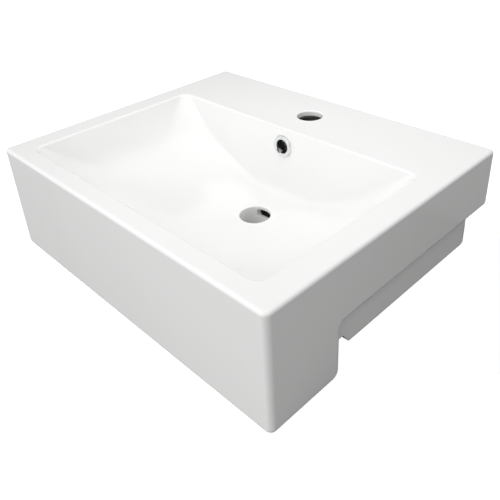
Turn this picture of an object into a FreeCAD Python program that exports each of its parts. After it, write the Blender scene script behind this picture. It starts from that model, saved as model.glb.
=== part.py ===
import FreeCAD, Part
import os
import re
import Sketcher
from FreeCAD import Placement, Rotation, Vector

# Semi recessed basin, in millimetres.
# Frame: +Z up, +X to the right and -Y to the front, as a person at the basin has it.
# The origin is the middle of the basin's footprint, level with the underside of the apron.

# ---------------------------------------------------------------- sizes
SIZES = {
    # outside of the china
    "basin_width": 510,
    "basin_depth": 420,
    "apron_height": 157,
    "apron_depth": 108,
    "skirt_height": 82,
    "front_corner": 8,
    "side_edge": 5.5,
    "top_edge": 5,
    "apron_heel": 11,
    "notch_hollow": 6,
    "skirt_tail": 7,
    # lower body, which goes down through the counter
    "side_step": 10,
    "rear_step": 18,
    "web_drop": 35,
    "web_length": 17,
    "foot_drop": 19,
    "foot_slope": 14,
    "foot_nose": 2.5,
    "body_corner": 20,
    "body_edge": 6,
    # thickness of the china
    "shell": 10,
    "deck_thickness": 11,
    "bowl_wall": 8,
    # bowl, at the rim
    "side_rim": 35,
    "front_rim": 27,
    "rear_deck": 122,
    "rim_edge": 5,
    # waste
    "drain_half": 30,
    "drain_reach": 27,
    "waste_bore": 22.5,
    "waste_from_back": 186,
    "waste_wall": 10,
    "waste_length": 35,
    "waste_lip": 1.5,
    # tap
    "tap_bore": 17.5,
    "tap_from_back": 64,
    "tap_lip": 2,
    # overflow passage in the china
    "overflow_drop": 28.5,
    "overflow_bore": 12.5,
    "channel_width": 34,
    "channel_depth": 14,
    "channel_wall": 7,
    "channel_head": 3,
    "slot_width": 28,
    "slot_height": 12,
    "slot_drop": 5,
    # overflow fitting
    "ring_radius": 16,
    "ring_opening": 10.5,
    "ring_height": 2.4,
    "ring_skin": 0.9,
    "ring_round": 1.1,
    "mouth_round": 0.6,
    "ring_tube": 9,
    "tube_wall": 0.8,
    "clip_length": 14,
    "clip_collar": 4,
    "leg_slit": 2.4,
    # clearances
    "seat_gap": 0.3,
    "slide_gap": 0.1,
}
LEG_SLITS = 6

# The bowl is lofted through rounded rectangles. Each row gives one of them: its depth below the
# deck, how far its side, front and back walls have come from the rim to the drain, from 0 to 1, and
# how round it is, as its corner radius over half its length.
SECTION_FIELDS = ("depth", "side", "front", "back", "roundness")
BOWL_SECTIONS = {
    "rim": (0, 0, 0, 0, 0.09),
    "wall": (30, 0.037, 0.039, 0.043, 0.335),
    "bend": (60, 0.111, 0.128, 0.086, 0.572),
    "cove": (85, 0.284, 0.322, 0.176, 0.852),
    "floor": (100, 0.537, 0.572, 0.351, 0.903),
    "dish": (108, 0.763, 0.794, 0.595, 0.906),
    "drain": (115, 1, 1, 1, 0.926),
}
for section, numbers in BOWL_SECTIONS.items():
    for field, number in zip(SECTION_FIELDS, numbers):
        SIZES[f"{section}_{field}"] = number

# Places worked out from the sizes.
PLACES = {
    "half_width": "basin_width / 2",
    "back_face": "basin_depth / 2",
    "front_face": "-back_face",
    "notch_face": "front_face + apron_depth",
    "skirt_base": "apron_height - skirt_height",
    "web_base": "skirt_base - web_drop",
    "foot_base": "web_base - foot_drop",
    "body_half": "half_width - side_step",
    "body_rear": "back_face - rear_step",
    "web_end": "notch_face + web_length",
    "foot_front": "web_end + foot_slope",
    "deck_base": "apron_height - deck_thickness",
    "bowl_half": "half_width - side_rim",
    "bowl_front": "front_face + front_rim",
    "bowl_back": "back_face - rear_deck",
    "bowl_floor": "apron_height - drain_depth",
    "waste_y": "back_face - waste_from_back",
    "waste_base": "bowl_floor - waste_length",
    "tap_y": "back_face - tap_from_back",
    "side_run": "bowl_half - drain_half",
    "front_run": "waste_y - drain_reach - bowl_front",
    "back_run": "bowl_back - waste_y - drain_reach",
    "overflow_z": "apron_height - overflow_drop",
    "overflow_y": "bowl_back - back_run * wall_back * overflow_drop / wall_depth",
    "overflow_lean": "atan(back_run * wall_back / wall_depth)",
    "channel_front": "bowl_back + bowl_wall",
    "channel_rear": "channel_front + channel_depth",
    "channel_top": "overflow_z + overflow_bore + channel_head",
    "slot_top": "bowl_floor - slot_drop",
    "slot_base": "slot_top - slot_height",
    "tube_radius": "ring_opening + tube_wall",
    "clip_radius": "overflow_bore - slide_gap",
    "seal_top": "ring_height - ring_skin",
    "seal_radius": "ring_radius - ring_skin",
}

doc = FreeCAD.newDocument("semi_recessed_basin")
sizes = doc.addObject("Spreadsheet::Sheet", "sizes")
places = doc.addObject("Spreadsheet::Sheet", "places")


def linked(formula, places_prefix="places."):
    """Write a formula's names as links to the cells of the two sheets."""
    def link(word):
        name = word.group()
        if name in SIZES:
            return f"sizes.{name}"
        if name in PLACES:
            return f"{places_prefix}{name}"
        return name
    return re.sub(r"[a-z_]+", link, formula)


def fill(target, cells):
    """Put names and their contents in a sheet, one to a row."""
    for row, (name, content) in enumerate(cells.items(), start=1):
        target.set(f"A{row}", name)
        target.set(f"B{row}", content)
        target.setAlias(f"B{row}", name)
    doc.recompute()


fill(sizes, {name: str(number) for name, number in SIZES.items()})
fill(places, {name: "=" + linked(formula, places_prefix="") for name, formula in PLACES.items()})


def value(formula):
    """Give a formula's number."""
    result = places.evalExpression(linked(formula))
    return float(getattr(result, "Value", result))


# ---------------------------------------------------------------- helpers
NEAR = 0.01
FULL_TURN = 360
QUARTER_TURN = FULL_TURN / 4


def new_body(name):
    """Start a sub-part."""
    body = doc.addObject("PartDesign::Body", name)
    body.Label = name
    body.Placement = Placement()
    return body


def new_sketch(body, plane, name, rise="0"):
    """Put a sketch on one of the body's own planes, raised along that plane's normal."""
    sketch = body.newObject("Sketcher::SketchObject", name)
    origin_plane = next(part for part in body.Origin.OriginFeatures if part.Role == plane)
    sketch.AttachmentSupport = [(origin_plane, "")]
    sketch.MapMode = "FlatFace"
    sketch.setExpression("AttachmentOffset.Base.z", linked(rise))
    return sketch


def hold(sketch, kind, first, formula):
    """Add a dimension that follows a formula."""
    index = sketch.addConstraint(Sketcher.Constraint(kind, *first, value(formula)))
    sketch.setExpression(f"Constraints[{index}]", linked(formula))


def pin(sketch, edge, end, across, up):
    """Hold a point of the sketch at two formulas from its origin."""
    hold(sketch, "DistanceX", (-1, 1, edge, end), across)
    hold(sketch, "DistanceY", (-1, 1, edge, end), up)


def polygon(sketch, corners):
    """Draw a closed outline of straight edges."""
    points = [Vector(value(across), value(up), 0) for across, up in corners]
    first = sketch.GeometryCount
    for start, end in zip(points, points[1:] + points[:1]):
        sketch.addGeometry(Part.LineSegment(start, end))
    for step, (across, up) in enumerate(corners):
        following = first + (step + 1) % len(corners)
        sketch.addConstraint(Sketcher.Constraint("Coincident", first + step, 2, following, 1))
        pin(sketch, first + step, 1, across, up)


def circle(sketch, across, up, radius):
    """Draw a circle."""
    centre = Vector(value(across), value(up), 0)
    edge = sketch.addGeometry(Part.Circle(centre, Vector(0, 0, 1), value(radius)))
    pin(sketch, edge, 3, across, up)
    hold(sketch, "Radius", (edge,), radius)


def rounded_rectangle(sketch, half, front, back, radius):
    """Draw a rectangle with round corners, even about the sketch's vertical axis."""
    wide, low, high, turn = (value(formula) for formula in (half, front, back, radius))
    runs = (
        ((-wide + turn, low), (wide - turn, low)),
        ((wide, low + turn), (wide, high - turn)),
        ((wide - turn, high), (-wide + turn, high)),
        ((-wide, high - turn), (-wide, low + turn)),
    )
    centres = ((wide - turn, low + turn), (wide - turn, high - turn),
               (-wide + turn, high - turn), (-wide + turn, low + turn))
    for index, (run, centre) in enumerate(zip(runs, centres)):
        start, end = (Vector(*point, 0) for point in run)
        sketch.addGeometry(Part.LineSegment(start, end))
        hub, spoke = Vector(*centre, 0), Vector(turn, 0, 0)
        begin, middle, finish = (
            hub + Rotation(Vector(0, 0, 1), (index + part) * QUARTER_TURN).multVec(spoke)
            for part in (-1, -0.5, 0))
        sketch.addGeometry(Part.Arc(begin, middle, finish))
    for line in range(0, 8, 2):
        arc, following = line + 1, (line + 2) % 8
        sketch.addConstraint(Sketcher.Constraint("Tangent", line, 2, arc, 1))
        sketch.addConstraint(Sketcher.Constraint("Tangent", arc, 2, following, 1))
        sketch.addConstraint(Sketcher.Constraint("Vertical" if line % 4 else "Horizontal", line))
        hold(sketch, "Radius", (arc,), radius)
    hold(sketch, "DistanceY", (-1, 1, 0, 1), front)
    hold(sketch, "DistanceX", (-1, 1, 2, 1), half)
    hold(sketch, "DistanceY", (-1, 1, 4, 1), back)
    hold(sketch, "DistanceX", (-1, 1, 6, 1), f"-({half})")


def swell(body, kind, name, sketch, length, side="One side", reverse=False):
    """Pad or pocket a sketch by a formula's length, and check that it did something."""
    before = body.Shape.Volume if body.Tip else 0
    feature = body.newObject(f"PartDesign::{kind}", name)
    feature.Profile = sketch
    feature.SideType = side
    feature.Reversed = reverse
    feature.setExpression("Length", linked(length))
    doc.recompute()
    change = body.Shape.Volume - before
    if change * (1 if kind == "Pad" else -1) <= 0:
        raise ValueError(f"{name} changed the volume by {change}")
    return feature


def loft(body, kind, name, sketches):
    """Add or take away a smooth loft through sketches."""
    feature = body.newObject(f"PartDesign::{kind}", name)
    feature.Profile = sketches[0]
    feature.Sections = sketches[1:]
    doc.recompute()
    return feature


def lies(edge, **at):
    """Say whether an edge lies wholly at the given x, y or z, x counting on both sides."""
    box = edge.BoundBox
    for axis, place in at.items():
        ends = (getattr(box, f"{axis.upper()}Min"), getattr(box, f"{axis.upper()}Max"))
        if axis == "x":
            ends = tuple(abs(end) for end in ends)
        if any(abs(end - place) > NEAR for end in ends):
            return False
    return True


def fillet(body, name, radius, chosen):
    """Round the edges of the body for which chosen is true."""
    base = body.Tip
    names = [f"Edge{index}" for index, edge in enumerate(base.Shape.Edges, start=1) if chosen(edge)]
    if not names:
        raise ValueError(f"{name} found no edge")
    feature = body.newObject("PartDesign::Fillet", name)
    feature.Base = (base, names)
    feature.setExpression("Radius", linked(radius))
    doc.recompute()
    return feature


# ---------------------------------------------------------------- basin body
def basin_outside(body):
    """The deep apron in front and the shallower skirt behind it, as one profile across the basin."""
    profile = new_sketch(body, "YZ_Plane", "outside_profile")
    polygon(profile, (
        ("front_face", "0"),
        ("notch_face", "0"),
        ("notch_face", "skirt_base"),
        ("back_face", "skirt_base"),
        ("back_face", "apron_height"),
        ("front_face", "apron_height"),
    ))
    swell(body, "Pad", "outside", profile, "basin_width", "Symmetric")
    notch, base = value("notch_face"), value("skirt_base")
    front, back, half = value("front_face"), value("back_face"), value("half_width")
    fillet(body, "corners", "front_corner", lambda edge: lies(edge, x=half, y=front))
    fillet(body, "heel", "apron_heel", lambda edge: lies(edge, y=notch, z=0))
    fillet(body, "hollow", "notch_hollow", lambda edge: lies(edge, y=notch, z=base))
    fillet(body, "tail", "skirt_tail", lambda edge: lies(edge, y=back, z=base))
    fillet(body, "side_edges", "side_edge", lambda edge: lies(edge, x=half, y=back))
    top = value("apron_height")
    fillet(body, "top_edges", "top_edge", lambda edge: lies(edge, z=top))


def basin_lower_body(body):
    """The part that goes down through the counter: a web behind the apron, then the foot."""
    outline = new_sketch(body, "XY_Plane", "lower_outline", "foot_base")
    rounded_rectangle(outline, "body_half", "notch_face - shell - body_corner", "body_rear",
                      "body_corner")
    swell(body, "Pad", "lower_body", outline, "skirt_base - foot_base + shell")
    step = new_sketch(body, "YZ_Plane", "web_profile")
    polygon(step, (
        ("notch_face", "foot_base"),
        ("foot_front", "foot_base"),
        ("web_end", "web_base"),
        ("notch_face", "web_base"),
    ))
    swell(body, "Pocket", "web_step", step, "2 * body_half", "Symmetric")
    rear, foot, front = value("body_rear"), value("foot_base"), value("foot_front")
    fillet(body, "foot_edges", "body_edge", lambda edge: lies(edge, y=rear, z=foot))
    fillet(body, "foot_front_edge", "foot_nose",
           lambda edge: lies(edge, y=front, z=foot))


def basin_hollow(body):
    """The space between the outer walls and the bowl, which is open underneath."""
    upper = new_sketch(body, "YZ_Plane", "upper_hollow_profile")
    polygon(upper, (
        ("front_face + shell", "shell"),
        ("notch_face - shell", "shell"),
        ("notch_face - shell", "skirt_base + shell"),
        ("back_face - shell", "skirt_base + shell"),
        ("back_face - shell", "deck_base"),
        ("front_face + shell", "deck_base"),
    ))
    swell(body, "Pocket", "upper_hollow", upper, "2 * (half_width - shell)", "Symmetric")
    lower = new_sketch(body, "YZ_Plane", "lower_hollow_profile")
    polygon(lower, (
        ("notch_face", "web_base + shell"),
        ("foot_front + shell", "web_base + shell"),
        ("foot_front + shell", "foot_base"),
        ("body_rear - shell", "foot_base"),
        ("body_rear - shell", "deck_base"),
        ("notch_face", "deck_base"),
    ))
    swell(body, "Pocket", "lower_hollow", lower, "2 * (body_half - shell)", "Symmetric")


def bowl_sections(body, prefix, wall, top):
    """Sketch the bowl's rounded rectangles, grown outwards and down by a wall."""
    sketches = []
    for section in BOWL_SECTIONS:
        level = f"apron_height - {section}_depth - ({wall})"
        if section == "rim":
            level = top
        sketch = new_sketch(body, "XY_Plane", f"{prefix}_{section}", level)
        front = f"bowl_front + front_run * {section}_front"
        back = f"bowl_back - back_run * {section}_back"
        rounded_rectangle(
            sketch,
            f"bowl_half - side_run * {section}_side + ({wall})",
            f"{front} - ({wall})",
            f"{back} + ({wall})",
            f"{section}_roundness * ({back} - ({front})) / 2 + ({wall})",
        )
        sketches.append(sketch)
    return sketches


def basin_waste_and_channel_walls(body):
    """The boss round the waste hole, and the walls of the overflow channel down to it."""
    boss = new_sketch(body, "XY_Plane", "boss_circle", "waste_base")
    circle(boss, "0", "waste_y", "waste_bore + waste_wall")
    swell(body, "Pad", "boss", boss, "waste_length")
    duct = new_sketch(body, "YZ_Plane", "duct_profile")
    polygon(duct, (
        ("waste_y", "slot_base - channel_wall"),
        ("channel_rear + channel_wall", "slot_base - channel_wall"),
        ("channel_rear + channel_wall", "deck_base"),
        ("bowl_back", "deck_base"),
        ("bowl_back", "bowl_floor"),
        ("waste_y", "bowl_floor"),
    ))
    swell(body, "Pad", "channel_walls", duct, "channel_width + 2 * channel_wall", "Symmetric")


def basin_overflow(body):
    """The overflow hole, the channel behind the bowl and the slot into the waste hole."""
    channel = new_sketch(body, "YZ_Plane", "channel_profile")
    polygon(channel, (
        ("channel_front", "slot_base"),
        ("channel_rear", "slot_base"),
        ("channel_rear", "channel_top"),
        ("channel_front", "channel_top"),
    ))
    swell(body, "Pocket", "channel", channel, "channel_width", "Symmetric")
    slot = new_sketch(body, "YZ_Plane", "slot_profile")
    polygon(slot, (
        ("waste_y", "slot_base"),
        ("channel_rear", "slot_base"),
        ("channel_rear", "slot_top"),
        ("waste_y", "slot_top"),
    ))
    swell(body, "Pocket", "slot", slot, "slot_width", "Symmetric")
    hole = new_sketch(body, "XZ_Plane", "overflow_circle")
    hole.AttachmentOffset = Placement(Vector(), Rotation(Vector(-1, 0, 0), value("overflow_lean")))
    hole.setExpression("AttachmentOffset.Base.y", linked("overflow_z"))
    hole.setExpression("AttachmentOffset.Base.z", linked("-overflow_y"))
    hole.setExpression("AttachmentOffset.Rotation.Angle", linked("overflow_lean"))
    circle(hole, "0", "0", "overflow_bore")
    swell(body, "Pocket", "overflow_hole", hole, "2 * bowl_wall + channel_depth", "Symmetric")


def basin_holes(body):
    """The tap hole through the deck and the waste hole through its boss."""
    tap = new_sketch(body, "XY_Plane", "tap_circle", "apron_height")
    circle(tap, "0", "tap_y", "tap_bore")
    swell(body, "Pocket", "tap_hole", tap, "2 * deck_thickness")
    waste = new_sketch(body, "XY_Plane", "waste_circle", "bowl_floor")
    circle(waste, "0", "waste_y", "waste_bore")
    swell(body, "Pocket", "waste_hole", waste, "2 * waste_length")


def basin_lips(body):
    """The soft lips where the bowl, the tap hole and the waste hole meet glazed faces."""
    top, floor, tap_y = value("apron_height"), value("bowl_floor"), value("tap_y")
    waste_y, tap_bore, waste_bore = value("waste_y"), value("tap_bore"), value("waste_bore")
    reach_x, reach_y = value("bowl_half"), value("bowl_back")
    fillet(body, "tap_lip_round", "tap_lip", lambda edge: lies(edge, z=top)
           and abs(edge.BoundBox.YLength - 2 * tap_bore) < NEAR
           and abs(edge.BoundBox.Center.y - tap_y) < NEAR)
    fillet(body, "rim_round", "rim_edge", lambda edge: lies(edge, z=top)
           and edge.BoundBox.XMax < reach_x + NEAR and edge.BoundBox.XMin > -reach_x - NEAR
           and edge.BoundBox.YMax < reach_y + NEAR)
    fillet(body, "waste_lip_round", "waste_lip", lambda edge: lies(edge, z=floor)
           and abs(edge.BoundBox.YLength - 2 * waste_bore) < NEAR
           and abs(edge.BoundBox.Center.y - waste_y) < NEAR)


def make_basin_body():
    """The fired china: apron, deck, skirt, bowl, waste boss and overflow channel in one piece."""
    body = new_body("basin_body")
    basin_outside(body)
    basin_lower_body(body)
    basin_hollow(body)
    loft(body, "AdditiveLoft", "bowl_shell",
         bowl_sections(body, "shell", "bowl_wall", "deck_base + deck_thickness / 2"))
    basin_waste_and_channel_walls(body)
    loft(body, "SubtractiveLoft", "bowl", bowl_sections(body, "bowl", "0", "apron_height"))
    basin_overflow(body)
    basin_holes(body)
    basin_lips(body)
    return body


# ---------------------------------------------------------------- overflow fitting
def seat_on_overflow(body):
    """Turn a piece made round its own Z axis so that it looks out of the overflow hole."""
    body.Placement = Placement(Vector(), Rotation(Vector(1, 0, 0), QUARTER_TURN))
    body.setExpression("Placement.Base.y", linked("overflow_y"))
    body.setExpression("Placement.Base.z", linked("overflow_z"))
    body.setExpression("Placement.Rotation.Angle", linked("90 deg - overflow_lean"))


def turned(body, name, corners):
    """Turn an outline of radii and heights round the body's Z axis."""
    profile = new_sketch(body, "XZ_Plane", f"{name}_profile")
    polygon(profile, corners)
    feature = body.newObject("PartDesign::Revolution", name)
    feature.Profile = profile
    feature.ReferenceAxis = (profile, ["V_Axis"])
    feature.Angle = FULL_TURN
    doc.recompute()
    return feature


def make_overflow_ring():
    """The chromed ring: a domed flange, hollow behind, on a short tube."""
    body = new_body("overflow_ring")
    turned(body, "ring", (
        ("ring_opening", "-ring_tube"),
        ("tube_radius", "-ring_tube"),
        ("tube_radius", "seal_top"),
        ("seal_radius", "seal_top"),
        ("seal_radius", "seat_gap"),
        ("ring_radius", "seat_gap"),
        ("ring_radius", "ring_height"),
        ("ring_opening", "ring_height"),
    ))
    height, outer, mouth = value("ring_height"), value("ring_radius"), value("ring_opening")
    fillet(body, "flange_round", "ring_round",
           lambda edge: lies(edge, z=height) and abs(edge.BoundBox.XMax - outer) < NEAR)
    fillet(body, "mouth_edge", "mouth_round",
           lambda edge: lies(edge, z=height) and abs(edge.BoundBox.XMax - mouth) < NEAR)
    seat_on_overflow(body)
    return body


def make_overflow_clip():
    """The sprung sleeve: a collar round the ring's tube, slit into legs that grip the hole."""
    body = new_body("overflow_clip")
    turned(body, "sleeve", (
        ("tube_radius", "-clip_length"),
        ("clip_radius", "-clip_length"),
        ("clip_radius", "seal_top"),
        ("tube_radius", "seal_top"),
    ))
    slit = new_sketch(body, "XY_Plane", "slit_outline", "-clip_length")
    polygon(slit, (
        ("tube_radius / 2", "-leg_slit / 2"),
        ("clip_radius + leg_slit", "-leg_slit / 2"),
        ("clip_radius + leg_slit", "leg_slit / 2"),
        ("tube_radius / 2", "leg_slit / 2"),
    ))
    cut = swell(body, "Pocket", "slit", slit, "clip_length - clip_collar", reverse=True)
    legs = body.newObject("PartDesign::PolarPattern", "legs")
    legs.Originals = [cut]
    legs.Axis = (slit, ["N_Axis"])
    legs.Angle = FULL_TURN
    legs.Occurrences = LEG_SLITS
    body.Tip = legs
    doc.recompute()
    seat_on_overflow(body)
    return body


def make_overflow_seal():
    """The soft washer inside the flange, which keeps splashes out of the hole's edge."""
    body = new_body("overflow_seal")
    turned(body, "washer", (
        ("clip_radius", "seat_gap"),
        ("seal_radius", "seat_gap"),
        ("seal_radius", "seal_top"),
        ("clip_radius", "seal_top"),
    ))
    seat_on_overflow(body)
    return body


# ---------------------------------------------------------------- build, check and write
parts = [
    make_basin_body(),
    make_overflow_ring(),
    make_overflow_clip(),
    make_overflow_seal(),
]
doc.recompute()
for item in doc.Objects:
    if {"Invalid", "Error"} & set(item.State):
        raise RuntimeError(f"{item.Name} did not build: {item.State}")
for part in parts:
    if part.Shape.isNull() or not part.Shape.isValid() or len(part.Shape.Solids) != 1:
        raise RuntimeError(f"{part.Label} is not one valid solid")
os.makedirs("parts", exist_ok=True)
for part in parts:
    part.Shape.exportStep(f"parts/{part.Label}.step")
    box = part.Shape.BoundBox
    print(f"{part.Label}: {part.Shape.Volume / 1000:.2f} cm3, "
          f"{box.XLength:.2f} x {box.YLength:.2f} x {box.ZLength:.2f} mm, base {box.ZMin:.2f}")
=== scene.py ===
"""Looks of a white semi recessed basin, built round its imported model.

Places and sizes are in millimetres in the basin's own frame: +Z up, -Y to the front, and the origin
under the middle of the basin, level with the base of its apron.
"""

import logging
from dataclasses import dataclass, replace
from enum import Enum
from math import atan, cos, pi, prod, radians, sin

import bmesh
import bpy
import numpy as np
from mathutils import Matrix, Vector

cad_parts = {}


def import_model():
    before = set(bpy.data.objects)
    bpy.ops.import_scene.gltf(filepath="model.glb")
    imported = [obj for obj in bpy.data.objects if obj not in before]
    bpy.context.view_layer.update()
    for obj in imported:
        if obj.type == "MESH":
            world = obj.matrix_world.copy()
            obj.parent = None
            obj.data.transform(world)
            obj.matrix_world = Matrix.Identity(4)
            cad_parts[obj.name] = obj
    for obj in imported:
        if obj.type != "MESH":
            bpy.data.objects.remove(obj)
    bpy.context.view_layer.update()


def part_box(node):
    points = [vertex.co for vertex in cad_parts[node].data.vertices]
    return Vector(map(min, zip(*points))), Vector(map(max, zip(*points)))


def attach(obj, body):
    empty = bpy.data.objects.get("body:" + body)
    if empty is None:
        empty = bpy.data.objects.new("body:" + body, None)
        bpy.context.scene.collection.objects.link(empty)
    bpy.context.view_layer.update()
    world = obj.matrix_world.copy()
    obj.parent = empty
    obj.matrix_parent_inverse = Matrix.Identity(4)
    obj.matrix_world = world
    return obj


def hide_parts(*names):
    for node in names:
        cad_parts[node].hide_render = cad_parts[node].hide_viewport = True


LOG = logging.getLogger("basin")
Array = np.ndarray
Colour = tuple[float, float, float]

MM = 0.001
# A hole is cut from this height over the deck to this height under the basin.
ABOVE = 4.0
BELOW = -4.0
# A rounded lip is cut this much over the deck, so that no film of the deck is left on it.
SKIN = 0.01
# Solids that are joined reach this far into each other, and a slit this far past its end.
OVERLAP = 1.0
# The floor lies this far under the apron.
FLOOR_GAP = 0.2
# The steps of a round that only the underside shows, and of one inside the overflow's way down.
HOLLOW_STEPS = 5
PASSAGE_STEPS = 4


# ---------------------------------------------------------------- shader maths
class Graph:
    """A node tree that nodes are added to."""

    def __init__(self, tree: bpy.types.NodeTree) -> None:
        """Start on an emptied tree."""
        self.tree = tree
        tree.nodes.clear()

    def node(self, kind: str, settings: dict, values: dict) -> bpy.types.Node:
        """Add any node, set it up and join it.

        Args:
            kind: the node's type.
            settings: its properties, set before its sockets.
            values: its sockets by name or number, each with a number, a colour or a link.

        Returns:
            The node.
        """
        node = self.tree.nodes.new(kind)
        for name, setting in settings.items():
            setattr(node, name, setting)
        for name, content in values.items():
            if isinstance(content, Link):
                self.tree.links.new(content.socket, node.inputs[name])
            else:
                node.inputs[name].default_value = content
        return node

    def link(self, kind: str, settings: dict, values: dict, output: object = 0) -> "Link":
        """Add a node as above and give one of its outputs, by name or number."""
        return Link(self, self.node(kind, settings, values).outputs[output])

    def place(self) -> "Link":
        """Give each point's own place in metres."""
        return self.link("ShaderNodeTexCoord", {}, {}, "Object")

    def facing_up(self) -> "Link":
        """Give the upward part of each point's normal, from -1 to 1."""
        return self.link("ShaderNodeNewGeometry", {}, {}, "Normal").part("Z")

    def grain(self, place: "Link", size_mm: float, detail: float = 2.0) -> "Link":
        """Give soft noise.

        Args:
            place: where it is read.
            size_mm: the width of its blotches.
            detail: how many finer layers it has.

        Returns:
            The noise, from about 0 to 1.
        """
        return self.link("ShaderNodeTexNoise", {},
                         {"Vector": place, "Scale": 1.0 / (size_mm * MM), "Detail": detail})

    def mix(self, mask: "Link", first: object, second: object) -> "Link":
        """Go from one colour to another as the mask rises from 0 to 1."""
        return self.link("ShaderNodeMix", {"data_type": "RGBA"},
                         {0: mask, 6: first, 7: second}, 2)

    def bump(self, height: "Link", depth_mm: float) -> "Link":
        """Turn a height from 0 to 1 into a bumped normal, for a range of the given depth."""
        return self.link("ShaderNodeBump", {}, {"Height": height, "Distance": depth_mm * MM})


class Link:
    """A node's output, on which Python's operators add Math nodes."""

    def __init__(self, graph: Graph, socket: bpy.types.NodeSocket) -> None:
        """Keep the graph and the output."""
        self.graph = graph
        self.socket = socket

    def _math(self, operation: str, *inputs: object) -> "Link":
        """Add a Math node with the given operation and inputs."""
        return self.graph.link("ShaderNodeMath", {"operation": operation}, dict(enumerate(inputs)))

    def __add__(self, other: object) -> "Link":
        """Add."""
        return self._math("ADD", self, other)

    def __sub__(self, other: object) -> "Link":
        """Take away."""
        return self._math("SUBTRACT", self, other)

    def __rsub__(self, other: object) -> "Link":
        """Take this from another."""
        return self._math("SUBTRACT", other, self)

    def __mul__(self, other: object) -> "Link":
        """Multiply."""
        return self._math("MULTIPLY", self, other)

    __radd__ = __add__
    __rmul__ = __mul__

    def part(self, axis: str) -> "Link":
        """Give one of a vector's three numbers."""
        return self.graph.link("ShaderNodeSeparateXYZ", {}, {0: self}, axis)

    def along(self, way: tuple[float, float, float]) -> "Link":
        """Give how far this vector points along another, or 0 where it points away."""
        share = self.graph.link("ShaderNodeVectorMath", {"operation": "DOT_PRODUCT"},
                                {0: self, 1: way}, "Value")
        return share._math("MAXIMUM", share, 0.0)

    def share(self, low: float, high: float) -> "Link":
        """Give the share of the way from low to high, held to 0 and 1."""
        way = (self - low) * (1.0 / (high - low))
        return self._math("MINIMUM", self._math("MAXIMUM", way, 0.0), 1.0)

    def step(self, low: float, high: float) -> "Link":
        """Rise smoothly from 0 at low to 1 at high, or fall where high is the lower one.

        Args:
            low: where the result is 0.
            high: where the result is 1.

        Returns:
            t * t * (3 - 2 * t), with t the share of the way from low to high.
        """
        held = self.share(low, high)
        return held * held * (3.0 - held * 2.0)


# ---------------------------------------------------------------- finishes
def tinted(colour: Colour, share: float = 1.0) -> tuple[float, float, float, float]:
    """Give an opaque colour, darker or lighter by a share."""
    return (*(part * share for part in colour), 1.0)


@dataclass(frozen=True)
class Finish:
    """A surface finish, which makes one material."""

    name: str
    colour: Colour

    def shade(self, graph: Graph) -> dict:
        """Give the shader's sockets their numbers and links."""
        return {"Base Color": tinted(self.colour)}

    def material(self) -> bpy.types.Material:
        """Make the material, with one Principled shader.

        Returns:
            The material.
        """
        material = bpy.data.materials.new(self.name)
        material.use_nodes = True
        graph = Graph(material.node_tree)
        shader = graph.link("ShaderNodeBsdfPrincipled", {}, self.shade(graph))
        graph.node("ShaderNodeOutputMaterial", {}, {"Surface": shader})
        return material


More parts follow.
